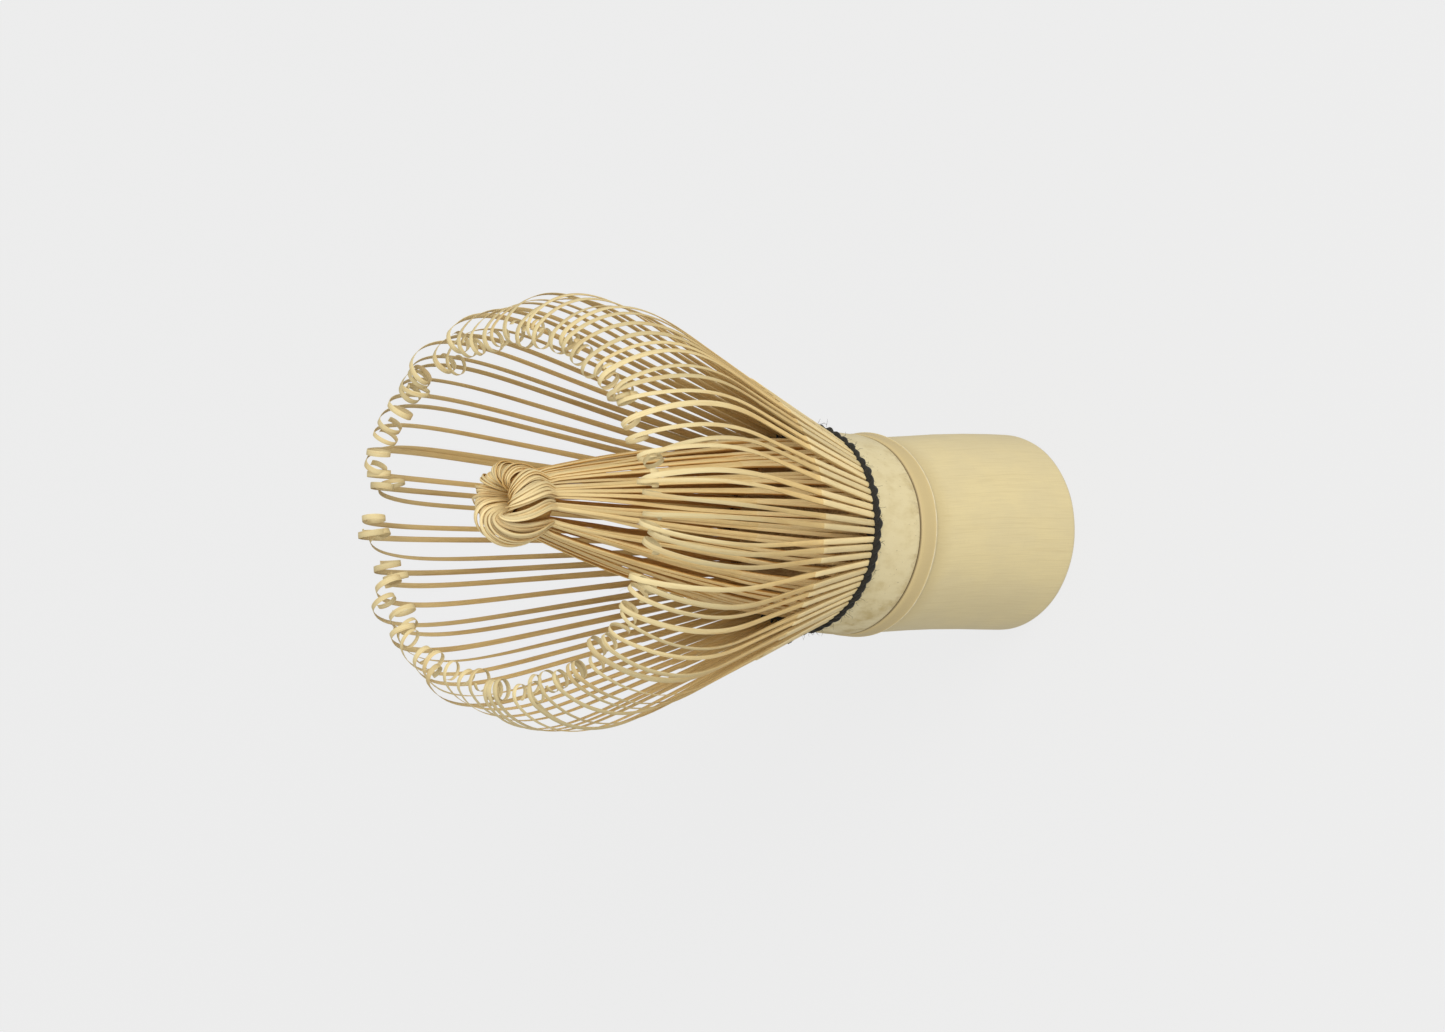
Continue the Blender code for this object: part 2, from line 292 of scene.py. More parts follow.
def add_handle(materials):
    around = 224
    angle = np.linspace(0, 2 * math.pi, around, endpoint=False)
    outward, _ = ring_vectors(angle)
    profile = handle_profile()
    radius, height = profile[:, 0, None], profile[:, 1, None]
    wave = 0.05 * np.cos(2 * angle + 0.7) + 0.03 * np.cos(3 * angle + 2.1) + 0.012 * np.cos(11 * angle)
    radius = radius + wave * smoothstep(11.2, 13.0, radius)
    points = radius[..., None] * outward
    points[..., 2] = height
    ridge = np.exp(-(((height - RIDGE_HEIGHT) / 0.5) ** 2)) * smoothstep(12, 13, radius)
    points[..., :2] *= 1 + (0.004 * np.sin(5 * angle + 1.2) * ridge)[..., None]
    piece = Piece("handle_culm")
    slot = np.full((len(profile) - 1, around), INSIDE)
    for i, ((r0, z0), (r1, z1)) in enumerate(zip(profile, profile[1:])):
        if max(z0, z1) < CUT_HEIGHT:
            slot[i] = CUT_END
        elif min(r0, r1) > SKIN_RADIUS:
            slot[i] = CULM_SKIN
    piece.add(settle(points), points, slot)
    handle = piece.build(materials, sharp=50)
    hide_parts("handle")
    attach(handle, "handle_body")


# ---------------------------------------------------------------- outer tines


def walk(start, tangent, normal, legs):
    """Points, normals and lengths of a strip.

    A leg is its number of steps, its length, its bends inward and sideways, and its twist.
    """
    point, tangent, normal = Vector(start), Vector(tangent), Vector(normal)
    points, normals, lengths = [point.copy()], [normal.copy()], [0.0]
    for steps, length, inward, sideways, twist in legs:
        for _ in range(steps):
            side = tangent.cross(normal)
            turn = Matrix.Rotation(-inward / steps / 2, 3, side)  # half a step's bend
            turn = turn @ Matrix.Rotation(-sideways / steps / 2, 3, normal)
            tangent = (turn @ tangent).normalized()
            point = point + tangent * (length / steps)
            tangent = (turn @ tangent).normalized()
            normal = Matrix.Rotation(twist / steps, 3, tangent) @ (turn @ turn @ normal)
            normal = (normal - tangent * normal.dot(tangent)).normalized()
            points.append(point.copy())
            normals.append(normal.copy())
            lengths.append(lengths[-1] + length / steps)
    return np.array(points), np.array(normals), np.array(lengths)


OUTER_SKIN = 20.6  # length of skin left on an outer tine
OUTER_SUNK = 0.9  # how far a tine's drawn root reaches down into the collar
ROOT_TILT = 0.12  # radians by which the part in the collar leans outward already
ROOT_INSET = 0.96  # how far inside the CAD rim that part begins
OUTER_WIDTH = ((0, 0.86), (19, 0.83), (32, 0.69), (44, 0.67), (54, 0.71), (66, 0.74), (78, 0.66))
OUTER_THICK = (
    (0, 0.8), (3, 0.72), (20, 0.56), (34, 0.36), (46, 0.27), (58, 0.2), (66, 0.16), (80, 0.13),
)
OUTER_FLARE = 20.25  # degrees between a tine's straight part and the axis
OUTER_BEND = 33.6  # where along a tine its inward bend begins
OUTER_ARC = 29.1  # length of the bend
OUTER_TURN = 62.0  # degrees that the bend turns it
OUTER_TIGHTEN = 2.38  # power by which the bend tightens towards the curl; 1 is an even bend
OUTER_CURL = 1.75  # radius of the curl
OUTER_LEAN = -0.35  # the crown of tines stands a little to the +X side
OUTER_OVAL = 0.045  # and is this much longer along Y than along X
CROWN_RADIUS = 27.6
SPLINTERED = 0.4  # share of the tines with a lifted hair


def stray(rng, count, spread, pitch, nearest):
    """How far each of a ring's strips has strayed along the ring, with neighbours no nearer than nearest."""
    pairs = np.repeat(rng.normal(0, 0.3, count // 2), 2) * np.tile([1, -1], count // 2)
    aside = np.clip(rng.normal(0, spread, count) + pairs, -1.2, 1.2)
    for _ in range(80):
        push = np.clip(nearest - (pitch + np.roll(aside, -1) - aside), 0, None) / 2
        aside = aside - push + np.roll(push, 1)
    return aside


def outer_legs(rng, lean, loose):
    """The legs of one outer tine: a straight flare, an arc inward and a curl.

    lean is how far it strays along the ring, and loose how far it twists.
    """
    flare = math.radians(OUTER_FLARE + rng.normal(0, 0.3))
    arc = math.radians(OUTER_TURN + rng.normal(0, 3.0))
    start = OUTER_BEND + rng.normal(0, 0.6)
    twist = float(np.clip(rng.normal(0, 0.2), -0.4, 0.4)) * loose
    side = lean / 44
    legs = [(2, OUTER_SUNK, 0, 0, 0), (1, 0.3, 0, 0, 0), (2, 0.5, ROOT_TILT - flare, -side, 0)]
    legs += [(10, OUTER_SKIN - 0.95, 0, 0, 0), (1, 0.3, 0, 0, 0)]
    legs.append((8, start - OUTER_SKIN - 0.15, 0, 0, 0.1 * twist))
    parts = 24
    for i in range(parts):
        share = ((i + 1) / parts) ** OUTER_TIGHTEN - (i / parts) ** OUTER_TIGHTEN
        legs.append((1, OUTER_ARC / parts, arc * share, side * 1.4 / parts, twist * 0.9 / parts))
    turn = math.radians(float(np.clip(rng.normal(350, 36), 285, 425)))
    radius = OUTER_CURL * rng.uniform(0.88, 1.12)
    tilt = rng.normal(0, 0.09)
    coil = rng.choice((-1, 1), p=(0.25, 0.75)) * abs(rng.normal(0.3, 0.12))
    parts = max(22, round(math.degrees(turn) / 13))
    for i in range(parts):
        share = i / (parts - 1)
        angle = turn / parts
        now = min(radius * (1 + 1.6 * max(0, 1 - share * 9)) * (1 - 0.26 * share), 1.35 * radius)
        legs.append((1, now * angle, angle, tilt * (share < 0.3) / 7, coil / parts))
    return legs


def add_splinter(piece, rng, points, normals, width):
    """A hair of bamboo that has lifted off a strip's edge."""
    first = int(rng.integers(6, 15))
    heading = unit(points[first + 1] - points[first])
    side = np.cross(heading, normals[first]) * rng.choice((-1, 1))
    start = points[first] + side * (width[first] / 2 - 0.02) + normals[first] * 0.15
    steps = np.linspace(0, 1, 7)[:, None]
    rise = normals[first] * rng.uniform(0.1, 0.6) + side * rng.uniform(0.1, 0.5)
    line = start + heading * (steps * rng.uniform(1.4, 3.2)) + rise * steps**2
    tube(piece, line, np.linspace(0.03, 0.014, 7), 3, rng.random())


def add_outer_tines(materials):
    rng = np.random.default_rng(20260)
    count = STAVES * TINES_PER_STAVE
    azimuth = (np.arange(count) - (TINES_PER_STAVE - 1) / 2) * TINE_ANGLE
    loose = 0.25 + 0.75 * np.abs(np.sin(azimuth)) ** 3
    aside = stray(rng, count, spread=0.42, pitch=CROWN_RADIUS * TINE_ANGLE, nearest=0.75) * loose
    for stave in range(STAVES):
        name = f"outer_tines_{stave + 1:02d}"
        piece = Piece(name + "_split")
        for tine in range(TINES_PER_STAVE):
            place = tine - (TINES_PER_STAVE - 1) / 2
            angle = stave * STAVE_ANGLE + place * TINE_ANGLE
            outward, _ = ring_vectors(angle)
            radius = RIM_RADIUS - ROOT_INSET + rng.normal(0, 0.03)
            start = outward * radius + UP * (HANDLE_TOP + 0.4 - OUTER_SUNK)
            heading = UP * math.cos(ROOT_TILT) + outward * math.sin(ROOT_TILT)
            facing = outward * math.cos(ROOT_TILT) - UP * math.sin(ROOT_TILT)
            number = stave * TINES_PER_STAVE + tine
            legs = outer_legs(rng, aside[number], loose[number])
            points, normals, length = walk(start, heading, facing, legs)
            length = length - OUTER_SUNK
            split = rng.uniform(0.93, 1.05), rng.uniform(0.76, 1.12)
            width = from_table(OUTER_WIDTH, length) * np.interp(length, (22, 56), split)
            base = from_table(OUTER_THICK, length) * rng.uniform(0.94, 1.06)
            thickness, shift = shaved_thickness(base, length, OUTER_SKIN, 0.13)
            points = points + normals * shift[:, None]
            points[:, 1] *= 1 + OUTER_OVAL * smoothstep(46, 90, points[:, 2])
            points = settle(points, OUTER_LEAN)
            roll = float(np.clip(rng.normal(0, 0.3), -0.6, 0.6)) * smoothstep(26, 46, length)
            roll = roll * (1 - smoothstep(54, 63, length))
            add_strip(piece, points, normals, width, thickness, rng.random(), OUTER_SKIN, roll, -OUTER_SUNK)
            if rng.random() < SPLINTERED:
                add_splinter(piece, rng, points, normals, width)
        tines = piece.build(materials)
        body = f"outer_{stave + 1:02d}"
        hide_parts(name)
        pivot = FLEX[body]
        outward = Vector((math.cos(stave * STAVE_ANGLE), math.sin(stave * STAVE_ANGLE), 0))
        start = Vector((pivot.x, pivot.y, pivot.z + 0.001))
        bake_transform(tines)


# ---------------------------------------------------------------- inner tines and knot


BUD_ROOT, BUD_NECK = 11.85, 4.2  # the bud's radius at the thread and below the knot
BUD_BASE, BUD_TOP = 42, KNOT_CENTRE.z - 3.2
INNER_SKIN_ROW = 15  # the point of a tine's line at which its skin ends
INNER_WIDTH = ((0, 0.64), (20, 0.62), (40, 0.54), (50, 0.48), (58, 0.42), (68, 0.37))
INNER_THICK = ((0, 0.6), (20, 0.48), (21, 0.4), (50, 0.28), (68, 0.2))
INNER_LAYERS = (0.0, -0.4, -0.12, -0.5, -0.2)  # how far neighbouring strips lie over or under each other
# Radius and height of a strip rolled over the knot, from under its rim into its hole
KNOT_ROLL = (
    (4.3, -3.2), (4.55, -2.4), (4.9, -1.3), (5.15, -0.1), (5.2, 1.2), (4.95, 2.5), (4.35, 3.5),
    (3.6, 4.05), (2.9, 4.1), (2.3, 3.72), (1.85, 2.95), (1.5, 1.85), (1.28, 0.55), (1.15, -0.9),
)
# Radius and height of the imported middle, which fills the roll
KNOT_CORE = (
    (0.2, -4.6), (2.5, -4.3), (3.5, -3.0), (3.9, -1.0), (3.9, 1.0), (3.3, 2.2),
    (2.5, 2.4), (1.7, 1.5), (1.2, 0.0), (0.8, -1.6), (0.15, -2.6),
)
KNOT_GROUPS = 12
KNOT_GAP = math.radians(248)  # where two groups of strips part
KNOT_UNDER = 112  # thin strips under the tines' own
KNOT_LOOPS = 9
KNOT_LENGTH = 58.0  # length along a strip at which it comes to the knot


def bundle_lean(height):
    """The bundle's offset from the axis at this height."""
    straight = 44  # below this height it doesn't lean
    share = np.clip((height - straight) / (KNOT_CENTRE.z - straight), 0, 1.2) ** 1.6
    return np.stack([KNOT_CENTRE.x * share, KNOT_CENTRE.y * share, 0 * share], -1)


def knot_normal(points):
    """Outward normals of a line of (radius, height) points."""
    step = unit(np.gradient(points, axis=0))
    return np.stack([step[:, 1], -step[:, 0]], -1)


def roll_over_knot(angle, swirl, lift, rise, count=30):
    """Points and normals of a strip over the knot, and how far along it they are, from 0 to 1.

    swirl is how far the strip turns by the hole, lift its layer, and rise how far it stands up on the way.
    """
    line = spline(KNOT_ROLL, count)
    normal = knot_normal(line)
    share = np.linspace(0, 1, count)
    swell = lift * (1 - smoothstep(0.75, 1.0, share))
    line = line + normal * (swell + rise * np.sin(math.pi * np.clip(share / 0.75, 0, 1)) ** 2)[:, None]
    turned = angle + swirl * smoothstep(0.12, 1.0, share)
    outward, _ = ring_vectors(turned)
    points = outward * line[:, :1] + UP * (line[:, 1:] + KNOT_CENTRE.z)
    normals = outward * normal[:, :1] + UP * normal[:, 1:]
    return points, normals, share


def knot_group(angle):
    """The group of strips that this angle falls in, and the group's middle angle."""
    place = ((angle - KNOT_GAP) % (2 * math.pi)) / (2 * math.pi) * KNOT_GROUPS
    number = int(place)
    return number, KNOT_GAP + (number + 0.5) / KNOT_GROUPS * 2 * math.pi


def knot_groups():
    """How far each group of strips turns by the hole, and how high it rises over the knot."""
    rng = np.random.default_rng(77)
    turn = from_table(((0, 80), (1, 70), (2, 54), (3, 38), (9, 34), (11, 50)), np.arange(KNOT_GROUPS))
    over = from_table(((0, 0.4), (2, 0.15), (3, 0)), np.arange(KNOT_GROUPS))
    return -np.radians(turn + rng.normal(0, 4, KNOT_GROUPS)), over + rng.normal(0, 0.1, KNOT_GROUPS)


def add_inner_tines(materials):
    rng = np.random.default_rng(77)
    swirl, rise = knot_groups()
    heights = np.concatenate(
        [np.linspace(HANDLE_TOP + 0.2, 61.0, 14), [61.2, 61.5], np.linspace(63, BUD_TOP - 1.2, 20)]
    )
    share = np.clip((heights - BUD_BASE) / (93.6 - BUD_BASE), 0, None)
    bud = BUD_ROOT - (BUD_ROOT - BUD_NECK) * share**1.72
    for stave in range(STAVES):
        name = f"inner_tines_{stave + 1:02d}"
        piece = Piece(name + "_split")
        for tine in range(TINES_PER_STAVE):
            number = stave * TINES_PER_STAVE + tine
            angle = stave * STAVE_ANGLE + (tine - (TINES_PER_STAVE - 1) / 2) * TINE_ANGLE
            group, centre = knot_group(angle)
            beside = abs(wrapped(angle - KNOT_GAP))
            drawn = angle + wrapped(centre - angle) * (0.3 + 0.4 * float(1 - smoothstep(0.2, 0.6, beside)))
            layer = INNER_LAYERS[number % len(INNER_LAYERS)] + rng.normal(0, 0.06)
            wander = rng.normal(0, 0.03)
            gather = smoothstep(70, BUD_TOP, heights)
            along = angle + (drawn - angle) * gather + wander * np.sin(share * math.pi)
            outward, _ = ring_vectors(along)
            radius = bud + layer * smoothstep(50, 82, heights) + rng.normal(0, 0.1) * np.sin(share * math.pi)
            stem = outward * radius[:, None] + UP * heights[:, None]
            over, over_normals, over_share = roll_over_knot(
                drawn, swirl[group] * rng.uniform(0.88, 1.12), layer + rng.normal(0, 0.09), rise[group]
            )
            points = np.vstack([stem, over])
            normals = np.vstack([outward, over_normals])
            points = points + bundle_lean(points[:, 2])
            length = length_along(points)
            knot_share = np.concatenate([np.zeros(len(stem)), over_share])
            width = from_table(INNER_WIDTH, length) * rng.uniform(0.9, 1.08)
            base = from_table(INNER_THICK, length)
            skin_end = length[INNER_SKIN_ROW]
            thickness, shift = shaved_thickness(base, length, skin_end, 0.1)
            points = settle(points + normals * shift[:, None])
            roll = rng.normal(0, 0.12) * np.sin(np.clip(length / 50, 0, 1) * math.pi)
            roll = roll + smoothstep(0.1, 0.7, knot_share) * rng.normal(0.7, 0.3)
            add_strip(piece, points, normals, width, thickness, rng.random(), skin_end, roll)
        tines = piece.build(materials)
        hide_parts(name)
        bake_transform(tines)


def add_knot(materials):
    """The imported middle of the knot, and the thin ends that hang loose in loops at its side."""
    rng = np.random.default_rng(5)
    piece = Piece("inner_knot_roll")
    core = spline(KNOT_CORE, 34)
    angle = np.linspace(0, 2 * math.pi, 72, endpoint=False)
    outward, _ = ring_vectors(angle)
    fold = 1 + 0.02 * np.cos(24 * angle[None] + 3 * core[:, :1])
    rings = outward[None] * (core[:, :1] * fold)[..., None]
    rings[..., 2] = core[:, 1:] + KNOT_CENTRE.z
    rings = rings + bundle_lean(np.full(1, KNOT_CENTRE.z))
    piece.add(rings, rings, PITH)
    swirl, rise = knot_groups()
    for i in range(KNOT_UNDER):
        start = (i + rng.uniform(-0.3, 0.3)) / KNOT_UNDER * 2 * math.pi
        group, centre = knot_group(start)
        if abs(wrapped(start - KNOT_GAP)) < 0.3:
            continue
        drawn = start + wrapped(centre - start) * 0.15
        turn = swirl[group] * rng.uniform(0.85, 1.15)
        points, normals, share = roll_over_knot(drawn, turn, rng.uniform(-0.75, -0.35), rise[group])
        points = points + bundle_lean(points[:, 2])
        width = np.full(len(points), rng.uniform(0.28, 0.4))
        roll = rng.normal(0.3, 0.4) * share
        add_strip(piece, points, normals, width, 0 * width + 0.16, rng.random(), None, roll, KNOT_LENGTH)
    for i in range(KNOT_LOOPS):
        start = math.radians(236 - 8.5 * i + rng.normal(0, 2.5))
        high = rng.uniform(0.45, 1.05)
        turn = math.radians(-88 + rng.normal(0, 9))
        points, normals, share = roll_over_knot(start, turn, 0.1, high, 36)
        points = points + bundle_lean(points[:, 2])
        width = np.full(len(points), rng.uniform(0.3, 0.42))
        tone = rng.random()
        roll = rng.normal(0.3, 0.4) * share
        add_strip(piece, points, normals, width, 0 * width + 0.2, tone, None, roll, KNOT_LENGTH)
    knot = piece.build(materials)
    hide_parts("inner_knot")
    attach(knot, "inner_bundle")


# ---------------------------------------------------------------- thread


def tube(piece, points, radius, sides, tone, loop=False):
    """A round tube along points."""
    points = np.asarray(points, float)
    if loop:
        ahead, behind = np.roll(points, -1, 0), np.roll(points, 1, 0)
        tangent = unit(ahead - behind)
    else:
        tangent = unit(np.gradient(points, axis=0))
    reference = np.tile(UP, (len(points), 1))
    reference[np.abs(tangent[:, 2]) > 0.95] = (1.0, 0.0, 0.0)
    side = unit(np.cross(tangent, reference))
    normal = np.cross(side, tangent)
    turn = np.linspace(0, 2 * math.pi, sides, endpoint=False)
    radius = np.broadcast_to(radius, len(points))[:, None, None]
    ring = side[:, None] * np.cos(turn)[None, :, None] + normal[:, None] * np.sin(turn)[None, :, None]
    rings = points[:, None] + ring * radius
    length = length_along(points)
    fibre = np.stack(np.broadcast_arrays(turn[None] / 4, length[:, None], np.float64(tone)), -1)
    piece.add(rings, fibre, 0, loop)


THREAD_KNOTS = (  # degrees round the ring, how much thicker it is there, and over what angle
    (303, 0.2, 0.05), (252, 0.13, 0.045), (232, 0.14, 0.05), (95, 0.1, 0.05), (20, 0.08, 0.05),
)


def add_thread(material):
    """The thread's outer row of two plies with a strand through each gap, and its inner row."""
    rng = np.random.default_rng(9)
    ring, height = RIM_RADIUS + 0.04, THREAD_HEIGHT + 0.35
    turns = 29  # by which the plies twist round each other
    angle = np.linspace(0, 2 * math.pi, turns * 24, endpoint=False)
    outward, _ = ring_vectors(angle)
    lumps = sum(
        size * np.exp(-((wrapped(angle - math.radians(place)) / width) ** 2))
        for place, size, width in THREAD_KNOTS
    )
    wander = 0.06 * np.sin(5 * angle + 1) + 0.05 * np.sin(13 * angle) + 0.04 * np.sin(31 * angle + 2)
    centre = outward * (ring + 0.04 * np.cos(2 * turns * angle))[:, None]
    centre[:, 2] = height + wander
    piece = Piece("thread_outer_cord")
    closed = np.vstack([centre[-1:], centre, centre[:1]])
    across = np.cross(unit(closed[2:] - closed[:-2]), outward)
    beads = 0.03 * np.sin(2 * turns * angle) + 0.05 * np.sin(37 * angle + 1) + 0.05 * np.sin(23 * angle + 4)
    size = 0.66 - 0.2 * np.cos(angle) ** 2 + lumps + beads
    for ply in range(2):
        turn = turns * angle + ply * math.pi
        offset = outward * np.cos(turn)[:, None] * 0.8 + across * np.sin(turn)[:, None]
        tube(piece, settle(centre + offset * (size * 0.4)[:, None]), size * 0.62, 8, ply / 2, loop=True)
    for number in range(STAVES * TINES_PER_STAVE):
        place = (number + 0.5) * TINE_ANGLE + rng.normal(0, 0.004)
        out, _ = ring_vectors(place)
        high = height + rng.uniform(0.2, 0.6)
        line = spline(
            [
                out * (ring - 0.05) + UP * (height + 0.1),
                out * (ring - 0.45) + UP * (height + 0.4),
                out * (ring - 1.0) + UP * high,
                out * (INNER_THREAD_RING + 0.1) + UP * (high - 0.1),
            ],
            9,
        )
        tube(piece, settle(line), rng.uniform(0.15, 0.21), 6, rng.random())
    add_fuzz(piece, rng, ring, height)
    add_cut_end(piece, ring, height)
    outer = piece.build([material])
    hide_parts("thread_outer")
    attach(outer, "handle_body")
    piece = Piece("thread_inner_cord")
    centre = outward * (INNER_THREAD_RING + 0.04 * np.cos(2 * turns * angle))[:, None]
    centre[:, 2] = height + 0.05 * np.sin(9 * angle)
    for ply in range(2):
        turn = turns * angle + ply * math.pi
        offset = outward * np.cos(turn)[:, None] + UP * np.sin(turn)[:, None]
        tube(piece, settle(centre + offset * 0.13), 0.17, 7, ply / 2, loop=True)
    inner = piece.build([material])
    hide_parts("thread_inner")
    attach(inner, "handle_body")


def add_fuzz(piece, rng, ring, height):
    """Loose fibres that stand off the thread."""
    radii = np.array([0.026, 0.024, 0.022, 0.02, 0.016, 0.01])
    for _ in range(260):
        out, along = ring_vectors(rng.uniform(0, 2 * math.pi))
        line = [out * (ring + rng.uniform(0.1, 0.4)) + UP * (height + rng.uniform(-0.4, 0.3))]
        heading = out * rng.uniform(0.2, 0.7) + along * rng.normal(0, 0.8) + UP * rng.normal(-0.5, 0.7)
        heading = unit(heading)
        step = rng.uniform(0.12, 0.3)
        for _ in radii[1:]:
            heading = unit(heading + rng.normal(0, 0.35, 3))
            line.append(line[-1] + heading * step)
        tube(piece, settle(np.array(line)), radii, 3, rng.random())


def add_cut_end(piece, ring, height):
    """The thread's cut end, which lies out from the ring and frays."""
    out, along = ring_vectors(math.radians(184))
    start = out * ring + UP * height
    path = ((0, 0, 0), (0.5, 0.7, 0), (0.95, 1.6, 0.2), (1.2, 2.4, 0.55))  # outward, round the ring, down
    line = spline([start + out * away - along * back - UP * fall for away, back, fall in path], 22)
    tangent = unit(np.gradient(line, axis=0))
    side = unit(np.cross(tangent, UP))
    normal = np.cross(side, tangent)
    phase = np.linspace(0, 5 * math.pi, len(line))
    for ply in range(2):
        turn = phase + ply * math.pi
        offset = side * np.cos(turn)[:, None] + normal * np.sin(turn)[:, None]
        spread = np.linspace(0.14, 0.22, len(line))[:, None]
        tube(piece, settle(line + offset * spread), np.linspace(0.2, 0.15, len(line)), 7, ply / 2)


# ---------------------------------------------------------------- materials


def linear(*levels):
    """A colour given as 0 to 255 display levels, in linear light."""
    shares = [level / 255 for level in levels]
    return tuple(s / 12.92 if s <= 0.04045 else ((s + 0.055) / 1.055) ** 2.4 for s in shares)


class Shader:
    """A short way to write a node material. base is its colour, to which paint adds."""

    def __init__(self, name):
        self.material = bpy.data.materials.new(name)
        self.material.use_nodes = True
        self.tree = self.material.node_tree
        self.surface = self.tree.nodes["Principled BSDF"]
        self.base = None

    def add(self, kind, inputs=(), **settings):
        node = self.tree.nodes.new("ShaderNode" + kind)
        for key, value in settings.items():
            setattr(node, key, value)
        for key, value in dict(inputs).items():
            self.put(node.inputs[key], value)
        return node

    def put(self, socket, value):
        if isinstance(value, bpy.types.NodeSocket):
            self.tree.links.new(value, socket)
        else:
            socket.default_value = value

    def math(self, operation, a, b=0.0, clamp=False):
        return self.add("Math", {0: a, 1: b}, operation=operation, use_clamp=clamp).outputs[0]

    def times(self, a, b, clamp=False):
        return self.math("MULTIPLY", a, b, clamp)

    def peak(self, value, centre, steepness):
        """1 where value is centre, and falling to 0 on both sides."""
        apart = self.math("ABSOLUTE", self.math("SUBTRACT", value, centre))
        return self.math("SUBTRACT", 1.0, self.times(apart, steepness), clamp=True)

    def fibre(self):
        """The point on the straight culm, or across and along a strip, with the strip's own tone."""
        return self.add("Attribute", attribute_name="fibre").outputs["Vector"]

    def scaled(self, vector, scale, offset=(0, 0, 0)):
        return self.add("Mapping", {"Vector": vector, "Scale": scale, "Location": offset}).outputs["Vector"]

    def noise(self, vector, detail=3.0, rough=0.55, scale=1.0):
        inputs = {"Vector": vector, "Scale": scale, "Detail": detail, "Roughness": rough}
        return self.add("TexNoise", inputs).outputs["Fac"]

    def remap(self, value, low, high, to_low=0.0, to_high=1.0, smooth=False):
        inputs = {"Value": value, "From Min": low, "From Max": high, "To Min": to_low, "To Max": to_high}
        kind = "SMOOTHSTEP" if smooth else "LINEAR"
        return self.add("MapRange", inputs, interpolation_type=kind).outputs["Result"]

    def mix(self, share, a, b, blend="MIX"):
        node = self.add("Mix", data_type="RGBA", blend_type=blend)
        self.put(node.inputs["Factor"], share)
        colours = [socket for socket in node.inputs if socket.type == "RGBA"]
        for socket, value in zip(colours, (a, b)):
            self.put(socket, value if isinstance(value, bpy.types.NodeSocket) else (*value, 1))
        return next(socket for socket in node.outputs if socket.type == "RGBA")

    def paint(self, share, levels):
        self.base = self.mix(share, self.base, linear(*levels))

    def shade(self, value):
        """Makes the base darker or lighter by a factor."""
        grey = self.add("CombineXYZ", {"X": value, "Y": value, "Z": value}).outputs[0]
        self.base = self.mix(1.0, self.base, grey, "MULTIPLY")

    def bump(self, height, distance, strength=1.0, below=None):
        inputs = {"Height": height, "Distance": distance, "Strength": strength}
        if below:
            inputs["Normal"] = below
        return self.add("Bump", inputs).outputs["Normal"]

    def finish(self, rough, normal):
        """Joins the base, a roughness and a normal to the surface, and gives the material."""
        for name, value in (("Base Color", self.base), ("Roughness", rough), ("Normal", normal)):
            self.put(self.surface.inputs[name], value)
        return self.material


def strip_material(name, root, tip, dark, roughness, pale_from=46.0, streak=0.5):
    """Split bamboo. root and tip are its colours along the strip, and dark is that of its fibre lines.

    The colours are display levels. The tip's begins about pale_from, a length along the strip.
    """
    s = Shader(name)
    across, length, tone = s.add("SeparateXYZ", {"Vector": s.fibre()}).outputs
    place = s.add("CombineXYZ", {"X": across, "Y": length, "Z": s.times(tone, 53.0)}).outputs[0]
    lines = s.noise(s.scaled(place, (7.0, 0.16, 1.0)), 4.0, 0.6)
    fine = s.noise(s.scaled(place, (19.0, 0.5, 1.0)), 3.0, 0.6)
    cloud = s.noise(s.scaled(place, (0.6, 0.09, 1.0)), 2.0, 0.5)
    own = s.add("TexWhiteNoise", {"W": tone}, noise_dimensions="1D").outputs["Value"]
    aged = s.remap(length, pale_from - 14, pale_from + 12, smooth=True)
    s.base = s.mix(aged, linear(*root), linear(*tip))
    s.shade(s.remap(own, 0, 1, 0.84, 1.11))
    s.paint(s.remap(lines, 0.52, 0.74, 0.0, streak, smooth=True), dark)
    s.paint(s.remap(cloud, 0.5, 0.75, 0.0, 0.35, smooth=True), dark)
    s.shade(s.remap(fine, 0.3, 0.7, 0.93, 1.06))
    s.surface.inputs["Specular IOR Level"].default_value = 0.25
    rough = s.remap(fine, 0.3, 0.7, roughness - 0.07, roughness + 0.09)
    return s.finish(rough, s.bump(fine, 0.00002, 0.6, s.bump(lines, 0.00005, 0.6)))


